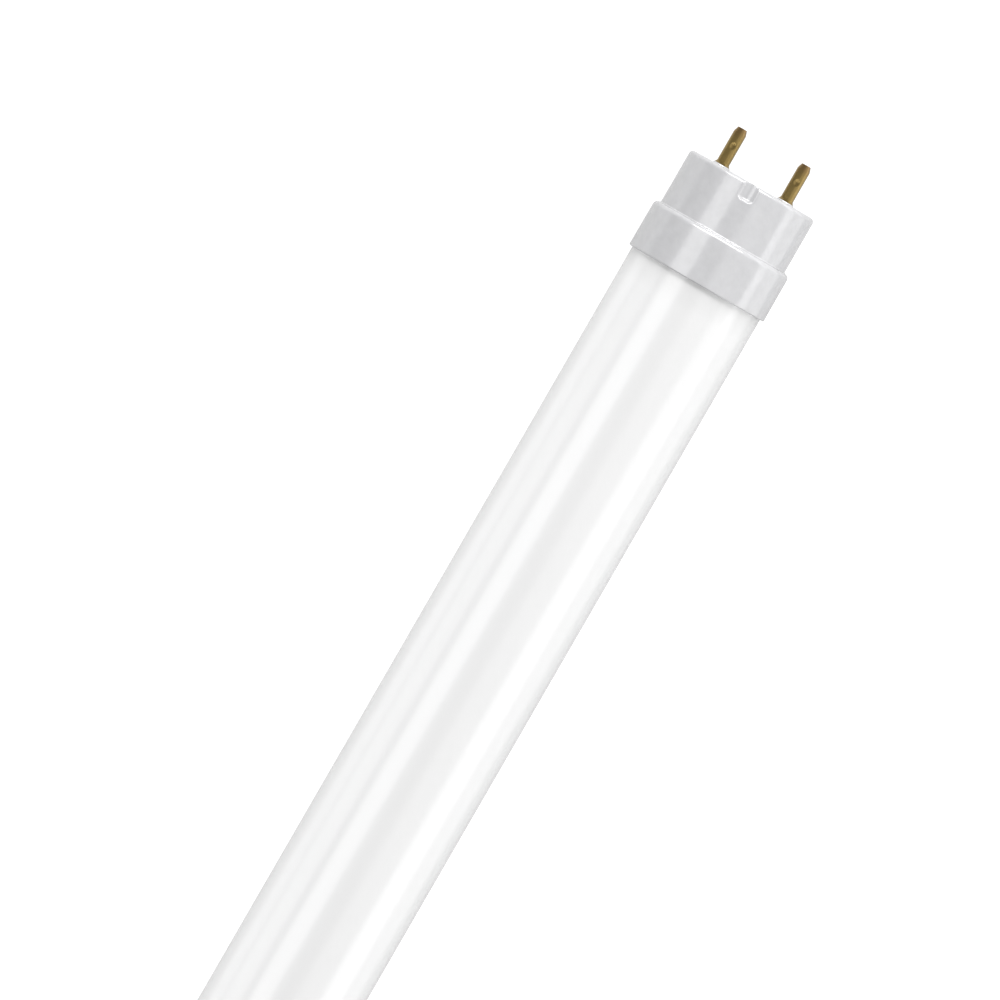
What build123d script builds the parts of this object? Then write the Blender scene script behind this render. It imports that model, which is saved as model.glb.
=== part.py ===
from build123d import *
import os
from math import sqrt

# LED tube with a two-pin base at each end, lying on its heavier side.
# X runs along the tube, and the driver sits in the end at +X. Z is up.
# The origin is on the floor under the middle of the tube. Sizes are in millimetres.

# Overall sizes
overall_length = 604.0
tube_diameter = 25.4
tube_wall = 0.9
fire_polish = 0.3

# Two-pin base
pin_spacing = 12.7
pin_diameter = 2.35
pin_length = 7.5
pin_shank_diameter = 2.75
pin_tip_inset = 0.33
pin_tip_taper = 0.95
pin_flange_diameter = 3.8
pin_flange_thickness = 0.5
pin_tail = 1.2
pin_fit = 0.02
crimp_height = 4.1
crimp_radius = 0.7
crimp_depth = 0.35

# End cap moulding
cap_length = 19.6
nose_length = 10.5
nose_inset = 0.4
nose_wall = 1.2
end_wall = 1.6
inner_bevel = 0.8
rim_round = 0.45
shoulder_blend = 0.48
collar_wall = 0.56
collar_draft = 0.05
collar_round = 0.25
seat_depth = 0.9
glue_gap = 0.12
glue_margin = 0.8
foot_diameter = 3.4
foot_height = 0.3
foot_slope = 0.15
socket_diameter = 4.8
socket_depth = 2.0
notch_length = 3.1
notch_depth = 0.75
notch_radius = 1.85
gate_diameter = 2.6
gate_depth = 0.3

# Light bar
bar_width = 10.0
bar_thickness = 1.0
bar_lift = 0.06
bar_film_gap = 0.5
bar_far_inset = 13.6
led_count = 48
led_length = 3.5
led_width = 2.8
led_height = 0.7
led_window = 0.45
led_window_depth = 0.35
led_window_round = 0.3
first_led = 7.5
last_led = 6.5
bead_width = 8.0

# Driver board and its film sleeve
driver_gap = 1.7
driver_length = 30.0
driver_thickness = 1.0
driver_drop = 4.0
driver_edge_gap = 0.3
rail_reach = 1.2
rail_thickness = 0.8
rail_gap = 0.1
film_thickness = 0.25
film_gap = 0.15
film_inset = 0.6
film_length = 26.0
film_seam = 0.8

# Leads and links
wire_diameter = 1.3
strand_diameter = 0.8
strand_fit = 0.1
strand_reach = 5.4
strip_length = 1.0
lead_bend = 1.8
lead_gap = 0.3
lead_pad = 2.4
far_lead_run = 8.0
far_lead_drop = 2.4
solder_base = 2.2
solder_top = 0.9
solder_height = 0.9
bar_pad_pitch = 5.0
bar_pad_inset = 3.0
link_pitch = 3.8
link_offset = 1.5
link_diameter = 0.8
link_inset = 1.8
link_reach = 4.0
link_bend = 1.5
link_hole_gap = 0.05

# Driver components
component_lead = 0.6
fuse_diameter = 2.8
fuse_length = 6.2
fuse_cap_length = 1.1
fuse_cap_lip = 0.15
fuse_place = 2.6
varistor_diameter = 7.0
varistor_thickness = 3.2
varistor_lift = 1.0
varistor_leg_pitch = 5.0
varistor_place = (7.0, -4.3)
film_cap_length = 8.4
film_cap_thickness = 4.2
film_cap_height = 7.4
film_cap_round = 0.5
film_cap_place = (7.0, 4.3)
bulk_diameter = 8.0
bulk_length = 13.5
bulk_lift = 0.1
bulk_groove_place = 2.0
bulk_groove_depth = 0.35
bulk_leg_pitch = 2.5
bulk_leg_reach = 2.0
bulk_place = (10.5, 4.7)
output_diameter = 6.3
output_height = 8.6
output_place = (24.0, -4.8)
can_bevel = 0.4
coil_flange_diameter = 8.4
coil_flange_thickness = 1.3
coil_height = 9.0
coil_core_diameter = 4.0
coil_winding_diameter = 7.4
coil_gap = 0.05
coil_place = (15.2, -4.7)
bridge_size = (4.7, 3.9, 1.5)
bridge_place = (7.0, 0.0)
chip_size = (4.9, 3.9, 1.45)
chip_leg_pitch = 1.27
chip_place = (14.5, 0.0)
diode_size = (4.3, 2.6, 2.1)
diode_place = (22.0, -4.0)
leg_width = 0.42
leg_reach = 1.05
leg_thickness = 0.2
standoff = 0.1
resistor_size = (1.6, 3.2, 0.6)
resistor_counts = (4, 2)
resistor_pitch = (3.0, 12.0)
resistor_place = (14.5, 0.0)
ceramic_size = (1.25, 2.0, 0.9)
ceramic_counts = (2, 1)
ceramic_pitch = (3.4, 5.0)
ceramic_place = (22.0, 3.2)

# Sizes that follow from those above
tube_radius = tube_diameter / 2
glass_bore = tube_radius - tube_wall
collar_bore = tube_radius + glue_gap
collar_radius = collar_bore + collar_wall
nose_radius = tube_radius - nose_inset
nose_bore = nose_radius - nose_wall
pin_radius = pin_diameter / 2
shank_radius = pin_shank_diameter / 2
pin_y = pin_spacing / 2
pin_bore = strand_diameter + 2 * strand_fit
axis_height = collar_radius
face_x = overall_length / 2 - pin_length
shoulder_x = face_x - nose_length
seat_x = shoulder_x - seat_depth
mouth_x = face_x - cap_length
inner_wall_x = face_x - end_wall
flange_x = inner_wall_x - socket_depth
tail_x = flange_x - pin_flange_thickness - pin_tail
bar_bottom = bar_lift - sqrt(glass_bore**2 - (bar_width / 2) ** 2)
bar_top = bar_bottom + bar_thickness
driver_top = -driver_drop
driver_bottom = driver_top - driver_thickness
driver_half_width = sqrt(nose_bore**2 - driver_bottom**2) - driver_edge_gap
driver_x = tail_x - driver_gap
film_near_x = seat_x - film_inset
film_far_x = film_near_x - film_length
bar_near_x = film_far_x - bar_film_gap
bar_far_x = bar_far_inset - seat_x

# What stands on a plane is centred on its place there
standing = (Align.CENTER, Align.CENTER, Align.MIN)


def cross_plane(x, y=0.0, z=0.0):
    """A plane across the tube at x. Its X is the row's Y, and its Y is up."""
    return Plane(origin=(x, y, axis_height + z), x_dir=(0, 1, 0), z_dir=(1, 0, 0))


def side_plane(y=0.0):
    """A plane along the tube at y. Its X is the row's X, and its Y is the height above the axis."""
    return Plane(origin=(0, y, axis_height), x_dir=(1, 0, 0), z_dir=(0, -1, 0))


def level(x, y, z):
    """A level plane with its origin at x, y and the height z above the axis."""
    return Plane(origin=(x, y, axis_height + z))


def on_driver(place):
    """A level plane on top of the driver board, at (distance from the board's near edge, y)."""
    return level(driver_x - place[0], place[1], driver_top)


def under_driver(place):
    """A plane that faces down, on the underside of the driver board."""
    origin = (driver_x - place[0], place[1], axis_height + driver_bottom)
    return Plane(origin=origin, x_dir=(1, 0, 0), z_dir=(0, 0, -1))


def round_along(x):
    """The axis along the tube through its centre, for pieces turned about it."""
    return Axis((x, 0, axis_height), (1, 0, 0))


def turned(piece):
    """The same piece turned end for end, as it sits at the far end."""
    return piece.part.rotate(Axis.Z, 180)


# Glass tube, its ends rounded in the flame, with the white coating inside
with BuildPart() as glass_tube:
    with BuildSketch(cross_plane(-seat_x)):
        Circle(tube_radius)
        Circle(glass_bore, mode=Mode.SUBTRACT)
    extrude(amount=2 * seat_x)
    fillet(glass_tube.edges().filter_by(GeomType.CIRCLE), fire_polish)

# End cap, one moulding: nose, shoulder and a collar that slides over the glass
cap_outline = [
    ((face_x, 0), 0),
    ((face_x, nose_radius), rim_round),
    ((shoulder_x, nose_radius), shoulder_blend),
    ((shoulder_x, collar_radius - collar_draft), shoulder_blend),
    ((mouth_x, collar_radius), collar_round),
    ((mouth_x, collar_bore), 0),
    ((seat_x, collar_bore), 0),
    ((seat_x, nose_bore), 0),
    ((inner_wall_x - inner_bevel, nose_bore), 0),
    ((inner_wall_x, nose_bore - inner_bevel), 0),
    ((inner_wall_x, 0), 0),
]
with BuildPart() as end_cap_near:
    with BuildSketch(side_plane()):
        with BuildLine():
            FilletPolyline(*[p for p, r in cap_outline], radius=[r for p, r in cap_outline], close=True)
        make_face()
    revolve(axis=round_along(face_x))
    # Notch in the rim that marks the side the light leaves from
    with Locations(cross_plane(face_x, z=nose_radius + notch_radius - notch_depth)):
        notch_flat = notch_length - sqrt(notch_radius**2 - (notch_radius - notch_depth) ** 2)
        Cylinder(notch_radius, 2 * notch_flat, mode=Mode.SUBTRACT)
        with Locations((0, 0, -notch_flat)):
            Sphere(notch_radius, mode=Mode.SUBTRACT)
    # Rails that hold the edges of the driver board
    with BuildSketch(cross_plane(seat_x)) as rails:
        rail_y = driver_half_width - rail_reach + nose_bore / 2
        above = driver_top + rail_gap + rail_thickness / 2
        below = driver_bottom - rail_gap - rail_thickness / 2
        with Locations(*[(side * rail_y, z) for side in (-1, 1) for z in (above, below)]):
            Rectangle(nose_bore, rail_thickness)
        Circle(nose_bore + nose_wall / 2, mode=Mode.INTERSECT)
    extrude(amount=inner_wall_x - seat_x)
    # Sockets behind the pins and a low foot round each pin
    with BuildSketch(cross_plane(inner_wall_x)):
        with Locations((-pin_y, 0), (pin_y, 0)):
            Circle(socket_diameter / 2)
    extrude(amount=-socket_depth)
    with Locations(cross_plane(face_x)):
        with Locations((-pin_y, 0), (pin_y, 0)):
            foot_top = foot_diameter / 2 - foot_slope
            Cone(foot_diameter / 2, foot_top, foot_height, align=standing)
    with BuildSketch(cross_plane(face_x + foot_height)):
        with Locations((-pin_y, 0), (pin_y, 0)):
            Circle(shank_radius + pin_fit)
    extrude(amount=-(foot_height + end_wall + socket_depth), mode=Mode.SUBTRACT)
    # Moulding gate, a shallow dimple in the middle of the face
    with BuildSketch(cross_plane(face_x)):
        Circle(gate_diameter / 2)
    extrude(amount=-gate_depth, mode=Mode.SUBTRACT)

with BuildPart() as end_cap_far:
    add(turned(end_cap_near))

# Glue ring between the collar and the glass
with BuildPart() as cap_glue_near:
    with BuildSketch(cross_plane(mouth_x + glue_margin)):
        Circle(collar_bore)
        Circle(tube_radius, mode=Mode.SUBTRACT)
    extrude(amount=seat_x - mouth_x - 2 * glue_margin)

with BuildPart() as cap_glue_far:
    add(turned(cap_glue_near))

# Contact pins, turned from tube with a shank and a flange, pushed through from inside and crimped
tip_x = face_x + pin_length
shank_x = face_x + foot_height
pin_outline = [
    (tip_x, pin_bore / 2),
    (tip_x, pin_radius - pin_tip_inset),
    (tip_x - pin_tip_taper, pin_radius),
    (shank_x, pin_radius),
    (shank_x, shank_radius),
    (flange_x, shank_radius),
    (flange_x, pin_flange_diameter / 2),
    (flange_x - pin_flange_thickness, pin_flange_diameter / 2),
    (flange_x - pin_flange_thickness, pin_radius),
    (tail_x, pin_radius),
    (tail_x, pin_bore / 2),
]


def contact_pin(y):
    """A hollow pin at y in the near end, with a crimp dent above and below."""
    with BuildPart() as pin:
        with BuildSketch(side_plane(y)):
            with BuildLine():
                Polyline(*pin_outline, close=True)
            make_face()
        revolve(axis=Axis((face_x, y, axis_height), (1, 0, 0)))
        dent_z = pin_radius + crimp_radius - crimp_depth
        with Locations(cross_plane(face_x + crimp_height, y)):
            with Locations((0, dent_z), (0, -dent_z)):
                Sphere(crimp_radius, mode=Mode.SUBTRACT)
    return pin


pin_near_left = contact_pin(pin_y)
pin_near_right = contact_pin(-pin_y)
with BuildPart() as pin_far_left:
    add(turned(pin_near_right))
with BuildPart() as pin_far_right:
    add(turned(pin_near_left))

# Light bar, a metal-cored board that lies on a bead of silicone along the bottom of the glass
with BuildPart() as light_bar:
    with BuildSketch(cross_plane(bar_far_x)):
        with Locations((0, (bar_top + bar_bottom) / 2)):
            Rectangle(bar_width, bar_thickness)
    extrude(amount=bar_near_x - bar_far_x)

bead_edge = -sqrt(glass_bore**2 - (bead_width / 2) ** 2)
with BuildPart() as bar_bead:
    with BuildSketch(cross_plane(bar_far_x)):
        with BuildLine():
            ThreePointArc((-bead_width / 2, bead_edge), (0, -glass_bore), (bead_width / 2, bead_edge))
            Polyline(
                (bead_width / 2, bead_edge),
                (bead_width / 2, bar_bottom),
                (-bead_width / 2, bar_bottom),
                (-bead_width / 2, bead_edge),
            )
        make_face()
    extrude(amount=bar_near_x - bar_far_x)

# LED packages in one row, each with a window in its top, and the phosphor that fills it
first_led_x = bar_near_x - first_led
last_led_x = bar_far_x + last_led
led_middle = (first_led_x + last_led_x) / 2
led_pitch = (first_led_x - last_led_x) / (led_count - 1)
window_size = (led_length - 2 * led_window, led_width - 2 * led_window)
with BuildPart() as led_packages:
    with BuildSketch(level(led_middle, 0, bar_top)):
        with GridLocations(led_pitch, 0, led_count, 1):
            Rectangle(led_length, led_width)
    extrude(amount=led_height)
    with BuildSketch(level(led_middle, 0, bar_top + led_height)):
        with GridLocations(led_pitch, 0, led_count, 1):
            Rectangle(*window_size)
    extrude(amount=-led_window_depth, mode=Mode.SUBTRACT)

with BuildPart() as led_phosphor:
    with BuildSketch(level(led_middle, 0, bar_top + led_height - led_window_depth)):
        with GridLocations(led_pitch, 0, led_count, 1):
            Rectangle(*window_size)
    extrude(amount=led_window_depth)

# Driver board, held by its edges between the rails of the cap
with BuildPart() as driver_board:
    with BuildSketch(cross_plane(driver_x)):
        with Locations((0, (driver_top + driver_bottom) / 2)):
            Rectangle(2 * driver_half_width, driver_thickness)
    extrude(amount=-driver_length)
    with BuildSketch(on_driver((driver_length - link_inset, 0))):
        with Locations((0, link_offset)):
            with GridLocations(0, link_pitch, 1, 2):
                Circle(link_diameter / 2 + link_hole_gap)
    extrude(amount=-driver_thickness, mode=Mode.SUBTRACT)

# Insulating film rolled round the driver inside the glass, with its seam along the top
film_radius = glass_bore - film_gap
with BuildPart() as driver_film:
    with BuildSketch(cross_plane(film_far_x)):
        Circle(film_radius)
        Circle(film_radius - film_thickness, mode=Mode.SUBTRACT)
        with Locations((0, film_radius)):
            Rectangle(film_seam, film_radius, mode=Mode.SUBTRACT)
    extrude(amount=film_length)


def lead(route, bend, drop):
    """An insulated lead along route, from a pin's tail at its first point to its solder joint.

    Its bare strand reaches into the pin, and drop is the height from its last point to the pad.
    """
    first, last = route[0], route[-1]
    with BuildPart() as wire:
        with BuildLine() as path:
            FilletPolyline(*route, radius=bend)
        start_plane = Plane(origin=first, z_dir=path.line % 0)
        with BuildSketch(start_plane):
            Circle(wire_diameter / 2)
        sweep(path=path.line)
        with BuildSketch(start_plane):
            Circle(strand_diameter / 2)
        extrude(amount=-(strand_reach + lead_gap + face_x - tail_x))
        with Locations((last[0], last[1], last[2] - drop)):
            Cone(solder_base / 2, solder_top / 2, solder_height, align=standing)
            Cylinder(strand_diameter / 2, drop, align=standing)
    return wire


def near_lead(y):
    """From a near pin back and down to the driver board."""
    pad_x = driver_x - lead_pad
    route = [
        (tail_x - lead_gap, y, axis_height),
        (pad_x, y, axis_height),
        (pad_x, y, axis_height + driver_top + strip_length),
    ]
    return lead(route, lead_bend, strip_length)


def far_lead(side):
    """From a far pin along the tube, and down to the end of the light bar."""
    pad_y = side * bar_pad_pitch / 2
    pad_x = bar_far_x + bar_pad_inset
    pad_height = axis_height + bar_top + strip_length
    first_x = lead_gap - tail_x
    route = [
        (first_x, side * pin_y, axis_height),
        (first_x + far_lead_run, side * pin_y, axis_height),
        (pad_x, pad_y, pad_height + far_lead_drop),
        (pad_x, pad_y, pad_height),
    ]
    return lead(route, lead_bend, strip_length)


lead_near_left = near_lead(pin_y)
lead_near_right = near_lead(-pin_y)
lead_far_left = far_lead(1)
lead_far_right = far_lead(-1)


def bar_link(y):
    """A bare copper link from the driver board down to the near end of the light bar."""
    top = axis_height + driver_top + solder_height
    rest = axis_height + bar_top + link_diameter / 2
    start_x = driver_x - driver_length + link_inset
    with BuildPart() as link:
        with BuildLine() as path:
            FilletPolyline(
                (start_x, y, top),
                (start_x, y, rest),
                (bar_near_x - link_reach, y, rest),
                radius=link_bend,
            )
        with BuildSketch(Plane(origin=(start_x, y, top), z_dir=path.line % 0)):
            Circle(link_diameter / 2)
        sweep(path=path.line)
        with Locations(level(start_x, y, driver_top)):
            Cone(solder_base / 2, link_diameter / 2, solder_height, align=standing)
    return link


link_plus = bar_link(link_offset + link_pitch / 2)
link_minus = bar_link(link_offset - link_pitch / 2)


def leg(plane, x, y, height):
    """Adds an upright wire leg that stands on plane at x, y."""
    with Locations(plane):
        with Locations((x, y, 0)):
            Cylinder(component_lead / 2, height, align=standing)


# Fusible resistor, lying across the board on its bent wires
with BuildPart() as fuse_resistor:
    fuse_x = driver_x - fuse_place
    fuse_z = driver_top + fuse_diameter / 2 + fuse_cap_lip + standoff
    fuse_plane = Plane(
        origin=(fuse_x, 0, axis_height + fuse_z), x_dir=(1, 0, 0), z_dir=(0, 1, 0)
    )
    with Locations(fuse_plane):
        Cylinder(fuse_diameter / 2, fuse_length)
        fuse_cap_z = (fuse_length - fuse_cap_length) / 2
        with Locations((0, 0, fuse_cap_z), (0, 0, -fuse_cap_z)):
            Cylinder(fuse_diameter / 2 + fuse_cap_lip, fuse_cap_length)
    wire_y = fuse_length / 2 + 2 * component_lead
    with BuildLine() as fuse_wire:
        FilletPolyline(
            (fuse_x, -wire_y, axis_height + driver_top),
            (fuse_x, -wire_y, axis_height + fuse_z),
            (fuse_x, wire_y, axis_height + fuse_z),
            (fuse_x, wire_y, axis_height + driver_top),
            radius=component_lead,
        )
    with BuildSketch(Plane(origin=(fuse_x, -wire_y, axis_height + driver_top))):
        Circle(component_lead / 2)
    sweep(path=fuse_wire.line)

# Surge varistor, a dipped disc on two legs
with BuildPart() as surge_varistor:
    varistor_x = driver_x - varistor_place[0]
    varistor_z = driver_top + varistor_lift + varistor_diameter / 2
    with Locations(cross_plane(varistor_x, varistor_place[1], varistor_z)):
        Cylinder(varistor_diameter / 2, varistor_thickness)
    fillet(surge_varistor.edges().filter_by(GeomType.CIRCLE), varistor_thickness / 3)
    varistor_leg = varistor_lift + varistor_diameter / 4
    for leg_side in (-1, 1):
        leg(on_driver(varistor_place), 0, leg_side * varistor_leg_pitch / 2, varistor_leg)

# Film capacitor, a moulded box
with BuildPart() as film_capacitor:
    with BuildSketch(on_driver(film_cap_place)):
        RectangleRounded(film_cap_thickness, film_cap_length, film_cap_round)
    extrude(amount=film_cap_height)
    fillet(film_capacitor.faces().sort_by(Axis.Z)[-1].edges(), film_cap_round)

# Bulk capacitor, lying along the board with its legs bent down behind it
with BuildPart() as bulk_capacitor:
    bulk_x = driver_x - bulk_place[0]
    bulk_radius = bulk_diameter / 2
    bulk_z = driver_top + bulk_lift + bulk_radius
    bulk_end_x = bulk_x - bulk_length
    groove_x = bulk_end_x + bulk_groove_place
    bulk_outline = [
        (bulk_x, 0),
        (bulk_x, bulk_radius - can_bevel),
        (bulk_x - can_bevel, bulk_radius),
        (groove_x + can_bevel, bulk_radius),
        (groove_x, bulk_radius - bulk_groove_depth),
        (groove_x - can_bevel, bulk_radius),
        (bulk_end_x + can_bevel, bulk_radius),
        (bulk_end_x, bulk_radius - can_bevel),
        (bulk_end_x, 0),
    ]
    bulk_side = Plane(
        origin=(0, bulk_place[1], axis_height + bulk_z), x_dir=(1, 0, 0), z_dir=(0, -1, 0)
    )
    with BuildSketch(bulk_side):
        with BuildLine():
            Polyline(*bulk_outline, close=True)
        make_face()
    revolve(axis=Axis((bulk_x, bulk_place[1], axis_height + bulk_z), (1, 0, 0)))
    for leg_side in (-1, 1):
        leg_y = bulk_place[1] + leg_side * bulk_leg_pitch / 2
        with BuildLine() as bulk_leg:
            FilletPolyline(
                (bulk_end_x, leg_y, axis_height + bulk_z),
                (bulk_end_x - bulk_leg_reach, leg_y, axis_height + bulk_z),
                (bulk_end_x - bulk_leg_reach, leg_y, axis_height + driver_top),
                radius=component_lead,
            )
        with BuildSketch(Plane(origin=(bulk_end_x, leg_y, axis_height + bulk_z), z_dir=(-1, 0, 0))):
            Circle(component_lead / 2)
        sweep(path=bulk_leg.line)

# Output capacitor, standing
with BuildPart() as output_capacitor:
    with BuildSketch(on_driver(output_place)):
        Circle(output_diameter / 2)
    extrude(amount=output_height)
    chamfer(output_capacitor.edges().filter_by(GeomType.CIRCLE), can_bevel)

# Power coil: a ferrite bobbin with its winding
with BuildPart() as coil_bobbin:
    with BuildSketch(on_driver(coil_place)):
        Circle(coil_flange_diameter / 2)
    extrude(amount=coil_flange_thickness)
    with BuildSketch(on_driver(coil_place)):
        Circle(coil_core_diameter / 2)
    extrude(amount=coil_height)
    with BuildSketch(on_driver(coil_place).offset(coil_height - coil_flange_thickness)):
        Circle(coil_flange_diameter / 2)
    extrude(amount=coil_flange_thickness)

with BuildPart() as coil_winding:
    with BuildSketch(on_driver(coil_place).offset(coil_flange_thickness)):
        Circle(coil_winding_diameter / 2)
        Circle(coil_core_diameter / 2 + coil_gap, mode=Mode.SUBTRACT)
    extrude(amount=coil_height - 2 * coil_flange_thickness)


def flat_legs(plane, size, pitch, count):
    """Adds gull-wing legs along both long sides of a chip that sits on plane."""
    foot_y = size[1] / 2 + leg_reach / 2
    with Locations(plane):
        with GridLocations(pitch, 2 * foot_y, count, 2):
            Box(leg_width, leg_reach, leg_thickness, align=standing)
    with Locations(plane):
        with GridLocations(pitch, size[1] + leg_thickness, count, 2):
            Box(leg_width, leg_thickness, size[2] / 2, align=standing)


# Bridge rectifier, driver chip and diode, on the underside of the board
with BuildPart() as bridge_rectifier:
    with BuildSketch(under_driver(bridge_place).offset(standoff)):
        Rectangle(bridge_size[0], bridge_size[1])
    extrude(amount=bridge_size[2] - standoff)
    flat_legs(under_driver(bridge_place), bridge_size, 2 * chip_leg_pitch, 2)

with BuildPart() as driver_chip:
    with BuildSketch(under_driver(chip_place).offset(standoff)):
        Rectangle(chip_size[0], chip_size[1])
    extrude(amount=chip_size[2] - standoff)
    flat_legs(under_driver(chip_place), chip_size, chip_leg_pitch, 4)

with BuildPart() as output_diode:
    with BuildSketch(under_driver(diode_place)):
        Rectangle(diode_size[0], diode_size[1])
    extrude(amount=diode_size[2])
    chamfer(output_diode.faces().sort_by(Axis.Z)[0].edges(), standoff)

# Chip resistors and ceramic capacitors, each set in one node
with BuildPart() as chip_resistors:
    with BuildSketch(under_driver(resistor_place)):
        with GridLocations(*resistor_pitch, *resistor_counts):
            Rectangle(resistor_size[0], resistor_size[1])
    extrude(amount=resistor_size[2])

with BuildPart() as chip_capacitors:
    with BuildSketch(under_driver(ceramic_place)):
        with GridLocations(*ceramic_pitch, *ceramic_counts):
            Rectangle(ceramic_size[0], ceramic_size[1])
    extrude(amount=ceramic_size[2])

pieces = {
    "glass_tube": glass_tube,
    "end_cap_near": end_cap_near,
    "end_cap_far": end_cap_far,
    "cap_glue_near": cap_glue_near,
    "cap_glue_far": cap_glue_far,
    "pin_near_left": pin_near_left,
    "pin_near_right": pin_near_right,
    "pin_far_left": pin_far_left,
    "pin_far_right": pin_far_right,
    "light_bar": light_bar,
    "bar_bead": bar_bead,
    "led_packages": led_packages,
    "led_phosphor": led_phosphor,
    "driver_board": driver_board,
    "driver_film": driver_film,
    "lead_near_left": lead_near_left,
    "lead_near_right": lead_near_right,
    "lead_far_left": lead_far_left,
    "lead_far_right": lead_far_right,
    "link_plus": link_plus,
    "link_minus": link_minus,
    "fuse_resistor": fuse_resistor,
    "surge_varistor": surge_varistor,
    "film_capacitor": film_capacitor,
    "bulk_capacitor": bulk_capacitor,
    "output_capacitor": output_capacitor,
    "coil_bobbin": coil_bobbin,
    "coil_winding": coil_winding,
    "bridge_rectifier": bridge_rectifier,
    "driver_chip": driver_chip,
    "output_diode": output_diode,
    "chip_resistors": chip_resistors,
    "chip_capacitors": chip_capacitors,
}
os.makedirs("parts", exist_ok=True)
for name, piece in pieces.items():
    piece.part.label = name
    export_step(piece.part, f"parts/{name}.step")
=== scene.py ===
import math

import bmesh
import bpy
import numpy as np
from mathutils import Matrix, Vector


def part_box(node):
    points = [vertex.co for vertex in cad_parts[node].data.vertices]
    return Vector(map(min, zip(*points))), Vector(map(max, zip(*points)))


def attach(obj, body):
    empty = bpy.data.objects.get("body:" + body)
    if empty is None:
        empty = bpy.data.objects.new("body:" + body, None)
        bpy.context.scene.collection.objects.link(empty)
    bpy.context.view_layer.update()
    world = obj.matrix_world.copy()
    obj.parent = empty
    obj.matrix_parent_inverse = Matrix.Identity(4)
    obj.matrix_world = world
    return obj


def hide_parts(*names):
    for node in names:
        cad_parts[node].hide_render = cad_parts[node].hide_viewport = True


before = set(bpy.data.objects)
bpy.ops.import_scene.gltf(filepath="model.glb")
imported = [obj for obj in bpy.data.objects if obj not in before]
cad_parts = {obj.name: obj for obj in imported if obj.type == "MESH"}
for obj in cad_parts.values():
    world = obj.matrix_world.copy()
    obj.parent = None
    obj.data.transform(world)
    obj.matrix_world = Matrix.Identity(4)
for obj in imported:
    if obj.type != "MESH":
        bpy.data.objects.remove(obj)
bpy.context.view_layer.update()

# Camera
# Looks down on the lamp as it lies, tipped towards the pins just enough to show a hair of the end face.
# A long lens from two metres away keeps the sides of the tube parallel.
MM = 0.001
AXIS_Z = 13.38 * MM
lens = 450.0
frame_width = 172.8 * MM
sight = Vector((225.5 * MM, 10.6 * MM, AXIS_Z))
tip = math.radians(1.5)
slant = math.radians(60)

along = Vector((math.cos(tip), 0, -math.sin(tip)))
across = Vector((0, -1, 0))
right = math.cos(slant) * along + math.sin(slant) * across
upward = math.sin(slant) * along - math.cos(slant) * across
back = right.cross(upward)

camera_data = bpy.data.cameras.new("camera")
camera_data.lens = lens
camera_data.sensor_width = 36.0
camera = bpy.data.objects.new("camera", camera_data)
bpy.context.scene.collection.objects.link(camera)
spot = sight + back * (frame_width / camera_data.sensor_width * lens)
camera.matrix_world = Matrix.Translation(spot) @ Matrix((right, upward, back)).transposed().to_4x4()
bpy.context.scene.camera = camera
bpy.context.scene.view_settings.view_transform = "Standard"

# Floor and surroundings
# A pale matt table that runs out to a white room. The camera sees both as white, with a soft trace of the
# shadow. In glass and metal a share of that white is seen too.
room_light = 0.33
table_colour = 0.55
table_glow = 0.8
table_share = 0.59
mirrored_share = 0.12


def add_node(tree, kind, inputs=None, **settings):
    """Adds a node. An input, named or numbered, is a value or another node's output."""
    node = tree.nodes.new(kind)
    for name, value in settings.items():
        setattr(node, name, value)
    for key, value in (inputs or {}).items():
        if isinstance(value, bpy.types.NodeSocket):
            tree.links.new(value, node.inputs[key])
        else:
            node.inputs[key].default_value = value
    return node


def result_of(tree, kind, inputs=None, **settings):
    """The first output of a new node."""
    return add_node(tree, kind, inputs, **settings).outputs[0]


def math_node(tree, operation, first, second=0.0):
    """The output of a Math node."""
    return result_of(tree, "ShaderNodeMath", {0: first, 1: second}, operation=operation)


def plus(tree, first, second):
    return math_node(tree, "ADD", first, second)


def minus(tree, first, second):
    return math_node(tree, "SUBTRACT", first, second)


def times(tree, first, second):
    return math_node(tree, "MULTIPLY", first, second)


def white_share(tree):
    """How much of the background's white a ray sees: all from the camera, a share from gloss or glass."""
    rays = add_node(tree, "ShaderNodeLightPath").outputs
    through = plus(tree, rays["Is Glossy Ray"], rays["Is Transmission Ray"])
    return plus(tree, rays["Is Camera Ray"], times(tree, through, mirrored_share))


def grey(value):
    return (value, value, value, 1)


world = bpy.data.worlds.new("white_room")
bpy.context.scene.world = world
world.use_nodes = True
tree = world.node_tree
tree.nodes.clear()
level = add_node(tree, "ShaderNodeMix", {"Factor": white_share(tree), "A": room_light, "B": 1.0})
glow = result_of(tree, "ShaderNodeBackground", {"Color": grey(1), "Strength": level.outputs["Result"]})
add_node(tree, "ShaderNodeOutputWorld", {"Surface": glow})

table_mesh = bpy.data.meshes.new("table")
reach = 30.0
corners = [(-reach, -reach, 0), (reach, -reach, 0), (reach, reach, 0), (-reach, reach, 0)]
table_mesh.from_pydata(corners, [], [(0, 1, 2, 3)])
table = bpy.data.objects.new("table", table_mesh)
bpy.context.scene.collection.objects.link(table)
table_top = bpy.data.materials.new("table_top")
table_top.use_nodes = True
tree = table_top.node_tree
tree.nodes.clear()
from_camera = add_node(tree, "ShaderNodeLightPath").outputs["Is Camera Ray"]
matt = result_of(tree, "ShaderNodeBsdfDiffuse", {"Color": grey(table_colour)})
thinned = result_of(tree, "ShaderNodeBsdfDiffuse", {"Color": grey(table_colour * table_share)})
body = result_of(tree, "ShaderNodeMixShader", {"Fac": from_camera, 1: matt, 2: thinned})
light = result_of(tree, "ShaderNodeEmission", {"Strength": times(tree, white_share(tree), table_glow)})
total = result_of(tree, "ShaderNodeAddShader", {0: body, 1: light})
add_node(tree, "ShaderNodeOutputMaterial", {"Surface": total})
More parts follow.
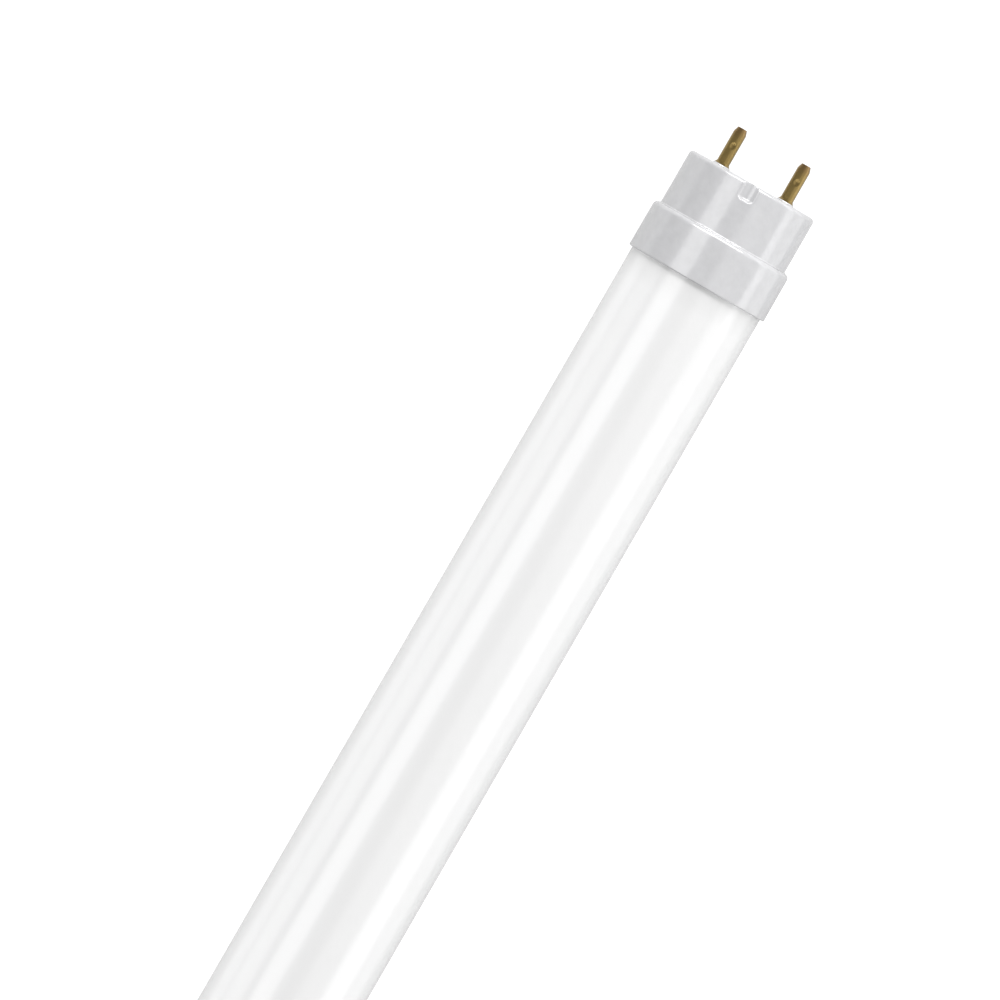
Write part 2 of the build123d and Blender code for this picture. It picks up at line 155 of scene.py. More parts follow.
table_mesh.materials.append(table_top)

# Studio lamps
# Long soft strips beside the tube: each lies along it, so its reflection is one straight band on the glass.
# Some end level with the cap, so that they light the glass alone. White cards on the table throw light up at
# the flanks, and a wide lamp beyond the pins lights the rim and the shoulder of the cap.
strip_start = -1.6
cap_level, past_pins = 0.277, 1.8
strip_distance = 0.9
card_height = 0.002
card_width = 0.3
card_gap = 0.04
card_brightness = 0.5
beyond_aim = Vector((0.29, 0.16, AXIS_Z))
beyond_rise = math.radians(34)
beyond_distance = 1.2
beyond_length = 1.6
beyond_half_angle = 10
beyond_brightness = 7.0
along_tube = Vector((1, 0, 0))


def soft_lamp(name, spot, back, flat, length, width, brightness):
    """A lamp at spot with its back towards the direction back and its length along flat."""
    lamp = bpy.data.lights.new(name, "AREA")
    lamp.shape = "RECTANGLE"
    lamp.size, lamp.size_y = length, width
    lamp.energy = brightness * math.pi * length * width
    holder = bpy.data.objects.new(name, lamp)
    turn = Matrix((flat, back.cross(flat), back)).transposed().to_4x4()
    holder.matrix_world = Matrix.Translation(spot) @ turn
    holder.visible_camera = False
    bpy.context.scene.collection.objects.link(holder)


def seen_width(distance, half_angle):
    """The width of a lamp that reaches half_angle degrees to each side, seen from this distance."""
    return 2 * distance * math.tan(math.radians(half_angle))


# Degrees from straight above, to the right of the picture if positive; half the width seen; brightness; end
for name, side_angle, half_angle, brightness, strip_end in (
    ("strip_high_left", -33, 26, 0.22, cap_level),
    ("strip_high_left_core", -31.5, 14.5, 1.13, past_pins),
    ("strip_high_right", 46, 31, 0.44, past_pins),
    ("strip_low_right", 82, 8, 1.45, past_pins),
    ("strip_glass_left", -74, 15, 0.95, cap_level),
    ("strip_glass_right", 66, 13, 1.05, cap_level),
):
    angle = math.radians(side_angle)
    out = Vector((0, -math.sin(angle), math.cos(angle)))
    spot = Vector(((strip_start + strip_end) / 2, 0, AXIS_Z)) + out * strip_distance
    width = seen_width(strip_distance, half_angle)
    soft_lamp(name, spot, out, along_tube, strip_end - strip_start, width, brightness)
for name, side, card_end in (("card_left", 1, cap_level), ("card_right", -1, past_pins)):
    spot = Vector(((strip_start + card_end) / 2, side * (card_gap + card_width / 2), card_height))
    soft_lamp(name, spot, Vector((0, 0, -1)), along_tube, card_end - strip_start, card_width, card_brightness)
beyond = Vector((math.cos(beyond_rise), 0, math.sin(beyond_rise)))
soft_lamp(
    "lamp_beyond_pins", beyond_aim + beyond * beyond_distance, beyond, Vector((0, 1, 0)),
    beyond_length, seen_width(beyond_distance, beyond_half_angle), beyond_brightness)

# Glass tube
# Opal white glass, drawn to size, cut and fire-polished at both ends. The caps hide the cut ends. The glass
# colour is painted darker over the last five millimetres before each cap: painted shade for the light that
# the caps keep from it.
tube_length = 566.2 * MM
tube_diameter = 25.4 * MM
tube_wall = 0.9 * MM
glass_grey, painted_shade_grey = 0.715, 0.64
shade_end = 274.9 * MM
shade_length = 5.0 * MM


def add_part(name, mesh, material, node):
    """Puts a finished mesh in the scene for a CAD node. A mesh keeps the materials that its tree gave it."""
    part = bpy.data.objects.new(name, mesh)
    bpy.context.scene.collection.objects.link(part)
    if not mesh.materials:
        mesh.materials.append(material)
    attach(part, "root")
    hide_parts(node)


def smooth(mesh, angle):
    """Shades a mesh smooth, with a crease wherever it turns by more than angle degrees."""
    mesh.shade_smooth()
    mesh.set_sharp_from_angle(angle=math.radians(angle))


def new_finish(name, **sockets):
    """A material with one Principled shader; values are set on the shader's own sockets."""
    material = bpy.data.materials.new(name)
    material.use_nodes = True
    shader = material.node_tree.nodes["Principled BSDF"]
    for socket, value in sockets.items():
        shader.inputs[socket.replace("_", " ")].default_value = value
    return material, material.node_tree, shader


def where(tree):
    """The X, Y and Z of a point of the piece."""
    place = add_node(tree, "ShaderNodeTexCoord").outputs["Object"]
    split = add_node(tree, "ShaderNodeSeparateXYZ", {0: place})
    return [split.outputs[axis] for axis in "XYZ"]


def mixed_colour(tree, factor, first, second):
    """The first colour where factor is 0, running into the second where it is 1."""
    mix = add_node(tree, "ShaderNodeMix", {"Factor": factor, "A": first, "B": second}, data_type="RGBA")
    return mix.outputs["Result"]


def vector(tree, x=0.0, y=0.0, z=0.0):
    return result_of(tree, "ShaderNodeCombineXYZ", {0: x, 1: y, 2: z})


def size_inputs(tree, sizes):
    """Named inputs of a geometry tree, and the group's input node."""
    tree.interface.new_socket("Geometry", in_out="OUTPUT", socket_type="NodeSocketGeometry")
    for name, value in sizes.items():
        kind = "NodeSocketInt" if isinstance(value, int) else "NodeSocketFloat"
        kind = "NodeSocketMaterial" if isinstance(value, bpy.types.Material) else kind
        tree.interface.new_socket(name, in_out="INPUT", socket_type=kind)
    return tree.nodes.new("NodeGroupInput").outputs


def grown(name, tree, sizes):
    """Runs a geometry tree with these sizes. The result is a plain mesh without faces shut inside it."""
    carrier = bpy.data.objects.new(name, bpy.data.meshes.new(name))
    bpy.context.scene.collection.objects.link(carrier)
    modifier = carrier.modifiers.new(name, "NODES")
    modifier.node_group = tree
    for item in tree.interface.items_tree:
        if item.in_out == "INPUT":
            modifier[item.identifier] = sizes[item.name]
    depsgraph = bpy.context.evaluated_depsgraph_get()
    mesh = bpy.data.meshes.new_from_object(carrier.evaluated_get(depsgraph))
    carrier.modifiers.remove(modifier)
    bpy.data.objects.remove(carrier)
    shell = bmesh.new()
    shell.from_mesh(mesh)
    bmesh.ops.remove_doubles(shell, verts=shell.verts, dist=1e-7)
    inside = [face for face in shell.faces if all(len(edge.link_faces) > 2 for edge in face.edges)]
    bmesh.ops.delete(shell, geom=inside, context="FACES_ONLY")
    bmesh.ops.recalc_face_normals(shell, faces=shell.faces)
    shell.to_mesh(mesh)
    shell.free()
    if not mesh.materials[0]:
        mesh.materials.pop(index=0)
    mesh.name = name
    return mesh


def moved(tree, geometry, x=0.0, y=0.0, z=0.0, turn=(0, 0, 0)):
    """Geometry moved, and turned first."""
    return result_of(tree, "GeometryNodeTransform", {
        "Geometry": geometry, "Translation": vector(tree, x, y, z), "Rotation": turn})


def swept_round(tree, steps, radius, section):
    """A ring with this section, made in this many steps."""
    ring = result_of(tree, "GeometryNodeCurvePrimitiveCircle", {"Resolution": steps, "Radius": radius})
    return result_of(tree, "GeometryNodeCurveToMesh", {"Curve": ring, "Profile Curve": section})


def coated_with(tree, geometry, material):
    return result_of(tree, "GeometryNodeSetMaterial", {"Geometry": geometry, "Material": material})


def ended(tree, geometry, material=None):
    """Closes a tree: its instances become real, and take this material unless each piece has its own."""
    real = result_of(tree, "GeometryNodeRealizeInstances", {"Geometry": geometry})
    add_node(tree, "NodeGroupOutput", {"Geometry": coated_with(tree, real, material) if material else real})


# A surface that is never quite even: cloudy in colour, patchy in gloss and faintly rippled. Streak draws the
# pattern out along the tube, as in drawn glass, turned metal and plastic that flowed into its mould.
cloud_contrast = 4.0
grain_fineness = 5.0
grain_height = 0.05
uneven = bpy.data.node_groups.new("uneven_surface", "ShaderNodeTree")
uneven.interface.new_socket("Color", in_out="INPUT", socket_type="NodeSocketColor")
uneven.interface.new_socket("Color", in_out="OUTPUT", socket_type="NodeSocketColor")
for name in ("Cloud", "Scale", "Streak", "Gloss", "Gloss Change"):
    uneven.interface.new_socket(name, in_out="INPUT", socket_type="NodeSocketFloat")
for name in ("Roughness", "Height"):
    uneven.interface.new_socket(name, in_out="OUTPUT", socket_type="NodeSocketFloat")
given = uneven.nodes.new("NodeGroupInput").outputs
place = add_node(uneven, "ShaderNodeTexCoord").outputs["Object"]
squeeze = vector(uneven, math_node(uneven, "DIVIDE", 1.0, given["Streak"]), 1.0, 1.0)
drawn = result_of(uneven, "ShaderNodeVectorMath", {0: place, 1: squeeze}, operation="MULTIPLY")
cloud = result_of(uneven, "ShaderNodeTexNoise", {"Vector": drawn, "Scale": given["Scale"], "Detail": 3.0})
fine_scale = times(uneven, given["Scale"], grain_fineness)
grain = result_of(uneven, "ShaderNodeTexNoise", {"Vector": drawn, "Scale": fine_scale, "Detail": 2.0})
off_middle = times(uneven, minus(uneven, cloud, 0.5), cloud_contrast)
shade = plus(uneven, 1.0, times(uneven, off_middle, given["Cloud"]))
tinted = result_of(uneven, "ShaderNodeVectorMath", {0: given["Color"], "Scale": shade}, operation="SCALE")
patchy = times(uneven, minus(uneven, grain, 0.5), given["Gloss Change"])
uneven_gloss = plus(uneven, given["Gloss"], patchy)
height = plus(uneven, cloud, times(uneven, grain, grain_height))
add_node(uneven, "NodeGroupOutput", {"Color": tinted, "Roughness": uneven_gloss, "Height": height})


def lay_uneven(tree, shader, colour, bump, **amounts):
    """Lays the uneven surface under a shader, round this colour, with ripples up to bump metres high."""
    surface = add_node(tree, "ShaderNodeGroup", node_tree=uneven)
    for name, value in {"Color": colour, **amounts}.items():
        socket = surface.inputs[name.replace("_", " ")]
        if isinstance(value, bpy.types.NodeSocket):
            tree.links.new(value, socket)
        else:
            socket.default_value = value
    tree.links.new(surface.outputs["Color"], shader.inputs["Base Color"])
    tree.links.new(surface.outputs["Roughness"], shader.inputs["Roughness"])
    raised = add_node(tree, "ShaderNodeBump", {"Distance": bump, "Height": surface.outputs["Height"]})
    tree.links.new(raised.outputs["Normal"], shader.inputs["Normal"])


opal_glass, tree, shader = new_finish(
    "opal_glass", Specular_IOR_Level=1.0, Coat_Weight=1.0, Coat_Roughness=0.2,
    Sheen_Weight=0.35, Sheen_Roughness=0.5)
# Painted shade: the glass colour runs from glass_grey to a darker grey over the last shade_length before each
# cap mouth.
painted_shade_near_cap = result_of(tree, "ShaderNodeMapRange", {
    "Value": math_node(tree, "ABSOLUTE", where(tree)[0]),
    "From Min": shade_end - shade_length, "From Max": shade_end})
lay_uneven(
    tree, shader, mixed_colour(tree, painted_shade_near_cap, grey(glass_grey), grey(painted_shade_grey)), bump=0.004 * MM,
    Cloud=0.006, Scale=160.0, Streak=6.0, Gloss=0.2, Gloss_Change=0.06)

glass_sizes = {
    "Length": tube_length,
    "Outside Diameter": tube_diameter,
    "Wall": tube_wall,
    "End Round": 0.3 * MM,
    "Round Steps": 8,
    "Segments": 384,
    "Axis Height": AXIS_Z,
    "Glass": opal_glass,
}
tree = bpy.data.node_groups.new("drawn_tube", "GeometryNodeTree")
size = size_inputs(tree, glass_sizes)
radius = times(tree, minus(tree, size["Outside Diameter"], size["Wall"]), 0.5)
section = result_of(tree, "GeometryNodeCurvePrimitiveQuadrilateral", {
    "Width": size["Wall"], "Height": size["Length"]})
rounded_section = result_of(tree, "GeometryNodeFilletCurve", {
    "Curve": section, "Radius": size["End Round"], "Count": size["Round Steps"], "Limit Radius": True,
}, mode="POLY")
wall = swept_round(tree, size["Segments"], radius, rounded_section)
laid = moved(tree, wall, z=size["Axis Height"], turn=(0, math.pi / 2, 0))
ended(tree, laid, size["Glass"])
glass_mesh = grown("tube_glass", tree, glass_sizes)
smooth(glass_mesh, 5)
add_part("tube_glass", glass_mesh, opal_glass, "glass_tube")

# End caps
# One moulding each, in translucent white plastic: a nose, a shoulder and a drafted collar that is glued over
# the glass. A round-bottomed notch in the rim marks the side that the light leaves from.
face_x = 294.5 * MM
nose_radius = 12.3 * MM
nose_bore = 11.1 * MM
nose_length = 10.5 * MM
collar_radius = 13.38 * MM
collar_draft = 0.05 * MM
collar_bore = 12.82 * MM
cap_length = 19.6 * MM
seat_depth = 0.9 * MM
end_wall = 1.6 * MM
notch_radius = 1.85 * MM
notch_depth = 0.75 * MM
notch_length = 3.3 * MM
notch_softness = 0.2 * MM
notch_end = 0.8 * MM
pin_y = 6.35 * MM


def rounded_line(corners, steps=6, hold=0.3):
    """Points of an open line through corners (x, radius, round). Each round is an arc, held by two points."""
    points = []
    for i, (x, r, rounding) in enumerate(corners):
        here = Vector((x, r))
        if rounding == 0:
            points.append(here)
            continue
        into = (Vector(corners[i - 1][:2]) - here).normalized()
        out = (Vector(corners[(i + 1) % len(corners)][:2]) - here).normalized()
        half = into.angle(out) / 2
        run = rounding / math.tan(half)
        middle = here + (into + out).normalized() * rounding / math.sin(half)
        start, end = here + into * run, here + out * run
        points.append(start + into * rounding * hold)
        turn = (start - middle).angle_signed(end - middle)
        for step in range(steps + 1):
            spoke = (start - middle).copy()
            spoke.rotate(Matrix.Rotation(-turn * step / steps, 2))
            points.append(middle + spoke)
        points.append(end + out * rounding * hold)
    return points


def turned_mesh(name, points, angles, shape=None, y=0.0):
    """A closed mesh turned about the line along the tube at y, from an (x, radius) line whose two ends lie on
    that axis or meet. shape(x, radius, angle) may change a radius. Angles start from straight up."""
    shell = bmesh.new()
    rings = []
    for x, r in points:
        if r < 1e-9:
            rings.append([shell.verts.new((x, y, AXIS_Z))] * len(angles))
            continue
        ring = []
        for angle in angles:
            radius = shape(x, r, angle) if shape else r
            ring.append(shell.verts.new((x, y + radius * math.sin(angle), AXIS_Z + radius * math.cos(angle))))
        rings.append(ring)
    closed = points[0][1] > 1e-9
    for index in range(len(rings) if closed else len(rings) - 1):
        one, two = rings[index], rings[(index + 1) % len(rings)]
        for k in range(len(angles)):
            n = (k + 1) % len(angles)
            corners = []
            for vert in (one[k], one[n], two[n], two[k]):
                if vert not in corners:
                    corners.append(vert)
            shell.faces.new(corners)
    bmesh.ops.recalc_face_normals(shell, faces=shell.faces)
    mesh = bpy.data.meshes.new(name)
    shell.to_mesh(mesh)
    shell.free()
    return mesh


# The outside line runs from the gate dimple in the face to the mouth, the inside line back to the end wall
gate_radius, gate_depth = 1.3 * MM, 0.3 * MM
shoulder_x, seat_x, mouth_x = face_x - nose_length, face_x - nose_length - seat_depth, face_x - cap_length
nose_rings, first_ring, ring_step = 25, 1.05 * MM, 0.12 * MM
nose_side = [(face_x - first_ring - ring_step * k, nose_radius, 0) for k in range(nose_rings)]
cap_line = rounded_line([
    (face_x - gate_depth, 0, 0),
    (face_x - gate_depth, gate_radius - 0.1 * MM, 0.08 * MM),
    (face_x, gate_radius + 0.05 * MM, 0.1 * MM),
    (face_x, 4.0 * MM, 0),
    (face_x, 9.0 * MM, 0),
    (face_x, 10.5 * MM, 0),
    (face_x, 11.3 * MM, 0),
    (face_x, nose_radius, 0.72 * MM),
    *nose_side,
    (shoulder_x, nose_radius, 0.3 * MM),
    (shoulder_x - 0.28 * MM, collar_radius - collar_draft, 0.85 * MM),
    (mouth_x, collar_radius, 0.25 * MM),
    (mouth_x, collar_bore, 0.12 * MM),
    (seat_x, collar_bore, 0.1 * MM),
    (seat_x, nose_bore, 0.12 * MM),
    (face_x - end_wall, nose_bore, 0.8 * MM),
    (face_x - end_wall, 9.0 * MM, 0),
    (face_x - end_wall, 3.0 * MM, 0),
    (face_x - end_wall, 0, 0),
])


def pressed(r, angle, height, tool, softness):
    """The radius left at this angle by a round tool of radius tool, its middle at height above the axis."""
    reach = tool * tool - (height * math.sin(angle)) ** 2
    if tool <= 0 or reach <= 0 or math.cos(angle) <= 0:
        return r
    gap = height * math.cos(angle) - math.sqrt(reach) - r
    return r + (gap - math.hypot(gap, softness)) / 2


def notched(x, r, angle):
    """Cuts the round-ended notch into the rim at the top of the nose, and leaves the inside alone."""
    floor_end = notch_end * math.sqrt(1 - (1 - notch_depth / notch_radius) ** 2)
    past = max(0.0, face_x - notch_length + floor_end - x)
    is_inside = r < nose_bore + 0.4 * MM and x < face_x - MM
    if past >= notch_end or is_inside:
        return r
    tool = notch_radius * math.sqrt(1 - (past / notch_end) ** 2)
    return pressed(r, angle, nose_radius + notch_radius - notch_depth, tool, notch_softness)


fine = [math.radians(a) for a in np.arange(-9.6, 9.61, 0.4)]
coarse = [math.radians(a) for a in np.arange(11.0, 349.5, 1.5)]
cap_body = turned_mesh("cap_body", cap_line, fine + coarse, notched)

# Low feet round the pins, sockets behind them and rails for the edges of the driver board. A rail is given in
# millimetres: its bottom and top from the axis, and how far out it reaches.
whole_turn = [math.radians(a) for a in np.arange(0, 360, 3.75)]
foot_height, foot_base = 0.3 * MM, 1.9 * MM
socket_radius, flange_x = 2.4 * MM, face_x - 3.6 * MM
shank_hole = 1.395 * MM
root_x = face_x - end_wall + 0.4 * MM
rails = ((-3.9, -3.1, 10.9), (-5.9, -5.1, 10.2))
rail_inner = 8.41
added, taken = [], []
for y in (-pin_y, pin_y):
    foot = rounded_line([
        (face_x + foot_height, 0, 0),
        (face_x + foot_height, 1.52 * MM, 0.1 * MM),
        (face_x, 1.7 * MM, 0.12 * MM),
        (face_x - 0.02 * MM, foot_base, 0),
        (face_x - 0.5 * MM, foot_base, 0),
        (face_x - 0.5 * MM, 0, 0),
    ], steps=4)
    socket = rounded_line([
        (root_x, 0, 0),
        (root_x, socket_radius, 0),
        (flange_x, socket_radius, 0.2 * MM),
        (flange_x, 0, 0),
    ], steps=4)
    hole = rounded_line([
        (face_x + MM, 0, 0),
        (face_x + MM, shank_hole, 0),
        (flange_x - MM, shank_hole, 0),
        (flange_x - MM, 0, 0),
    ])
    added += [turned_mesh("foot", foot, whole_turn, y=y), turned_mesh("socket", socket, whole_turn, y=y)]
    taken.append(turned_mesh("hole", hole, whole_turn, y=y))
for side in (-1, 1):
    for low, high, outer in rails:
        rail = bmesh.new()
        bmesh.ops.create_cube(rail, size=1)
        size = (root_x - seat_x, (outer - rail_inner) * MM, (high - low) * MM)
        bmesh.ops.scale(rail, verts=rail.verts, vec=size)
        middle = ((root_x + seat_x) / 2, side * (outer + rail_inner) / 2 * MM, AXIS_Z + (low + high) / 2 * MM)
        bmesh.ops.translate(rail, verts=rail.verts, vec=middle)
        rail_mesh = bpy.data.meshes.new("rail")
        rail.to_mesh(rail_mesh)
        rail.free()
        added.append(rail_mesh)


def joined(meshes):
    """One mesh that holds all of these."""
    together = bmesh.new()
    for mesh in meshes:
        together.from_mesh(mesh)
    result = bpy.data.meshes.new("joined")
    together.to_mesh(result)
    together.free()
    return result


def combined(mesh, tool, operation):
    """mesh with tool united to it or cut from it."""
    carriers = [bpy.data.objects.new("carrier", m) for m in (mesh, tool)]
    for carrier in carriers:
        bpy.context.scene.collection.objects.link(carrier)
    modifier = carriers[0].modifiers.new("combine", "BOOLEAN")
    modifier.operation, modifier.solver, modifier.object = operation, "EXACT", carriers[1]
    depsgraph = bpy.context.evaluated_depsgraph_get()
    result = bpy.data.meshes.new_from_object(carriers[0].evaluated_get(depsgraph))
    for carrier in carriers:
        bpy.data.objects.remove(carrier)
    return result


def plain_finish(name, colour, sockets, **amounts):
    """A material of one uneven colour."""
    material, tree, shader = new_finish(name, **sockets)
    lay_uneven(tree, shader, colour, **amounts)
    return material


cap_mesh = combined(combined(cap_body, joined(added), "UNION"), joined(taken), "DIFFERENCE")
smooth(cap_mesh, 35)
cap_mesh.name = "end_cap"
far_mesh = cap_mesh.copy()
far_mesh.transform(Matrix.Rotation(math.pi, 4, "Z"))
cap_plastic = plain_finish(
    "cap_plastic", (0.56, 0.56, 0.573, 1),
    {"Specular_IOR_Level": 1.0, "Coat_Weight": 1.0, "Coat_Roughness": 0.18, "Coat_IOR": 1.8},
    bump=0.06 * MM, Cloud=0.045, Scale=500.0, Streak=1.0, Gloss=0.2, Gloss_Change=0.15)
add_part("cap_near", cap_mesh, cap_plastic, "end_cap_near")
add_part("cap_far", far_mesh, cap_plastic, "end_cap_far")

# Contact pins
# Turned from brass tube with a shank and a flange, pushed through the cap from inside, and crimped on the
# strands of the leads. The brass has dulled, most of all at the tips.
pin_radius = 1.175 * MM
pin_bore = 0.5 * MM
shank_radius = 1.375 * MM
flange_radius, flange_thickness = 1.9 * MM, 0.5 * MM
tip_x, tail_x = face_x + 7.5 * MM, face_x - 5.3 * MM
crimp_x = face_x + 4.05 * MM
crimp_tool, crimp_depth, crimp_softness = 0.8 * MM, 0.3 * MM, 0.1 * MM
flare_radius, flare_height = 1.6 * MM, 0.7 * MM
flare_x = face_x + foot_height - 0.16 * MM
tarnish_length = 2.2 * MM
pin_line = rounded_line([
    (tip_x, pin_bore, 0.05 * MM),
    (tip_x, pin_radius - 0.33 * MM, 0.1 * MM),
    (tip_x - 0.95 * MM, pin_radius, 0.5 * MM),
    *[(crimp_x + 0.1 * MM * k, pin_radius, 0) for k in range(9, -10, -1)],
    (face_x + flare_height, pin_radius, 0.4 * MM),
    (flare_x, flare_radius, 0.04 * MM),
    (flare_x, shank_radius, 0),
    (flange_x, shank_radius, 0),
    (flange_x, flange_radius, 0.08 * MM),
    (flange_x - flange_thickness, flange_radius, 0.08 * MM),
    (flange_x - flange_thickness, pin_radius, 0),
    (tail_x, pin_radius, 0.05 * MM),
    (tail_x, pin_bore, 0.05 * MM),
], steps=5)


def crimped(x, r, angle):
    """Presses a dent into the top and the bottom of a pin."""
    past = abs(x - crimp_x)
    if past >= crimp_tool or r < 0.9 * pin_radius:
        return r
    tool = math.sqrt(crimp_tool**2 - past**2)
    height = pin_radius + crimp_tool - crimp_depth
    return min(pressed(r, angle + turn, height, tool, crimp_softness) for turn in (0, math.pi))


fresh_brass, tarnished_brass = (0.34, 0.235, 0.07, 1), (0.29, 0.175, 0.065, 1)
brass, tree, shader = new_finish("dulled_brass", Metallic=1.0, Coat_Weight=0.6, Coat_Roughness=0.3)
near_tip = result_of(tree, "ShaderNodeMapRange", {
    "Value": math_node(tree, "ABSOLUTE", where(tree)[0]),
    "From Min": tip_x - tarnish_length, "From Max": tip_x})
lay_uneven(
    tree, shader, mixed_colour(tree, near_tip, fresh_brass, tarnished_brass), bump=0.004 * MM,
    Cloud=0.08, Scale=500.0, Streak=4.0, Gloss=0.36, Gloss_Change=0.15)
for side, side_y in (("left", pin_y), ("right", -pin_y)):
    for end, y in (("near", side_y), ("far", -side_y)):
        pin = turned_mesh(f"pin_{end}_{side}", pin_line, whole_turn, crimped, y)
        smooth(pin, 40)
        if end == "far":
            pin.transform(Matrix.Rotation(math.pi, 4, "Z"))
        add_part(f"contact_{end}_{side}", pin, brass, f"pin_{end}_{side}")


def flag(lamps, parts):
    """Keeps the light of these lamps off these parts, as a black flag in a studio does."""
    shaded = bpy.data.collections.new("shaded")
    for part in parts:
        shaded.objects.link(bpy.data.objects[part])
    for member in shaded.collection_objects:
        member.light_linking.link_state = "EXCLUDE"
    for lamp in lamps:
        bpy.data.objects[lamp].light_linking.receiver_collection = shaded


near_pins = ["contact_near_left", "contact_near_right"]
flag(["strip_high_left_core", "lamp_beyond_pins"], near_pins)
flag(["strip_high_left", "strip_glass_left", "strip_glass_right", "card_left"], [*near_pins, "cap_near"])

# Glue rings
# A thin ring of clear silicone between each collar and the glass, laid on before the cap is pushed over it
# and cured in an oven. It sets a little cloudy.


def dress(material, *nodes):
    """Gives this material to solids whose shape is right as it is."""
    for node in nodes:
        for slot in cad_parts[node].material_slots:
            slot.material = material


clear_silicone = plain_finish(
    "clear_silicone", (0.7, 0.7, 0.68, 1), {"Subsurface_Weight": 0.3, "Subsurface_Scale": 0.001},
    bump=0.04 * MM, Cloud=0.05, Scale=1500.0, Streak=1.0, Gloss=0.35, Gloss_Change=0.2)
dress(clear_silicone, "cap_glue_near", "cap_glue_far")

# Light bar
# A strip of aluminium with a thin circuit on top under white solder resist. It is pushed in from the end and
# lies along the bottom of the tube on a bead of white silicone.


def two_colour_finish(name, first, second, is_second, sockets, metal=True, **amounts):
    """A material of the first colour, and of the second where is_second(tree, x, y, z) gives 1. The second is
    bare metal unless metal is False."""
    material, tree, shader = new_finish(name, **sockets)
    mask = is_second(tree, *where(tree))
    lay_uneven(tree, shader, mixed_colour(tree, mask, first, second), **amounts)
    if metal:
        tree.links.new(mask, shader.inputs["Metallic"])
    return material


def facing_up(tree):
    """How far a face of the piece looks up or down, from 0 to 1."""
    normal = add_node(tree, "ShaderNodeNewGeometry").outputs["Normal"]
    return math_node(tree, "ABSOLUTE", add_node(tree, "ShaderNodeSeparateXYZ", {0: normal}).outputs["Z"])


solder_resist = (0.82, 0.82, 0.8, 1)
aluminium = (0.62, 0.62, 0.63, 1)
tin = (0.55, 0.54, 0.52, 1)
bar_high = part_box("light_bar")[1]
hair = 0.02 * MM
bare_margin = 0.25 * MM


def bar_metal_shows(tree, x, y, z):
    """Everywhere but on the top face, a hair inside its edges."""
    top = math_node(tree, "GREATER_THAN", z, bar_high.z - hair)
    inside = math_node(tree, "LESS_THAN", math_node(tree, "ABSOLUTE", y), bar_high.y - bare_margin)
    return minus(tree, 1.0, times(tree, top, inside))


dress(two_colour_finish(
    "resist_on_aluminium", solder_resist, aluminium, bar_metal_shows, {"Coat_Weight": 0.2},
    bump=0.008 * MM, Cloud=0.02, Scale=800.0, Streak=8.0, Gloss=0.4, Gloss_Change=0.2), "light_bar")
dress(plain_finish(
    "white_silicone", (0.8, 0.8, 0.78, 1), {"Subsurface_Weight": 0.2, "Subsurface_Scale": 0.002},
    bump=0.15 * MM, Cloud=0.02, Scale=250.0, Streak=2.0, Gloss=0.45, Gloss_Change=0.1), "bar_bead")

# LEDs
# Small white moulded packages in one row, soldered to the bar. Each has a window with sloping sides, filled
# almost to its top with clear silicone that carries yellow phosphor.
led_low, led_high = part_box("led_packages")
led_count = 48
led_length = 3.5 * MM
led_draft = 0.03


def frustum(tree, length, width, height, taper, turned_over=False):
    """A block whose top is smaller than its bottom by taper. It stands on the origin, or hangs from it."""
    radius = math.sqrt(0.5)
    cone = result_of(tree, "GeometryNodeMeshCone", {
        "Vertices": 4, "Radius Top": times(tree, minus(tree, 1.0, taper), radius),
        "Radius Bottom": radius, "Depth": height})
    square = result_of(tree, "GeometryNodeTransform", {"Geometry": cone, "Rotation": (0, 0, math.pi / 4)})
    return result_of(tree, "GeometryNodeTransform", {
        "Geometry": square, "Rotation": (math.pi if turned_over else 0, 0, 0),
        "Scale": vector(tree, length, width, 1.0)})


led_housing = plain_finish(
    "led_housing", (0.86, 0.86, 0.84, 1), {"Specular_IOR_Level": 0.6},
    bump=0.004 * MM, Cloud=0.01, Scale=2500.0, Streak=1.0, Gloss=0.4, Gloss_Change=0.15)
phosphor = plain_finish(
    "phosphor", (0.85, 0.62, 0.1, 1), {"Coat_Weight": 0.6, "Coat_Roughness": 0.1},
    bump=0.004 * MM, Cloud=0.05, Scale=6000.0, Streak=1.0, Gloss=0.3, Gloss_Change=0.1)
led_sizes = {
    "Count": led_count,
    "Pitch": (led_high.x - led_low.x - led_length) / (led_count - 1),
    "Length": led_length,
    "Width": 2.8 * MM,
    "Height": 0.7 * MM,
    "Rim": 0.45 * MM,
    "Window Depth": 0.35 * MM,
    "Slope": 0.18,
    "First X": led_low.x + led_length / 2,
    "Base Z": led_low.z,
    "Finish": led_housing,
}


def led_row(name, is_housing):
    """The row of housings, or of the phosphor fills that sit in them. The windows are cut by a block that
    stands out of the housing, and the fill keeps clear of their sides."""
    tree = bpy.data.node_groups.new(name, "GeometryNodeTree")
    size = size_inputs(tree, led_sizes)
    rims = times(tree, size["Rim"], 2.0)
    share_of_window, share_of_depth, above_top = (1.0, 1.1, 0.1) if is_housing else (0.97, 0.94, -0.06)
    length, width = (
        times(tree, minus(tree, size[side], rims), share_of_window) for side in ("Length", "Width"))
    depth = times(tree, size["Window Depth"], share_of_depth)
    top = plus(tree, size["Height"], times(tree, size["Window Depth"], above_top))
    one = moved(tree, frustum(tree, length, width, depth, size["Slope"], True), z=top)
    if is_housing:
        body = frustum(tree, size["Length"], size["Width"], size["Height"], led_draft)
        one = result_of(
            tree, "GeometryNodeMeshBoolean", {"Mesh 1": body, "Mesh 2": one}, operation="DIFFERENCE")
    row = result_of(tree, "GeometryNodeMeshLine", {
        "Count": size["Count"], "Start Location": vector(tree, x=size["First X"], z=size["Base Z"]),
        "Offset": vector(tree, x=size["Pitch"])})
    put = result_of(tree, "GeometryNodeInstanceOnPoints", {"Points": row, "Instance": one})
    ended(tree, put, size["Finish"])
    return grown(name, tree, led_sizes)


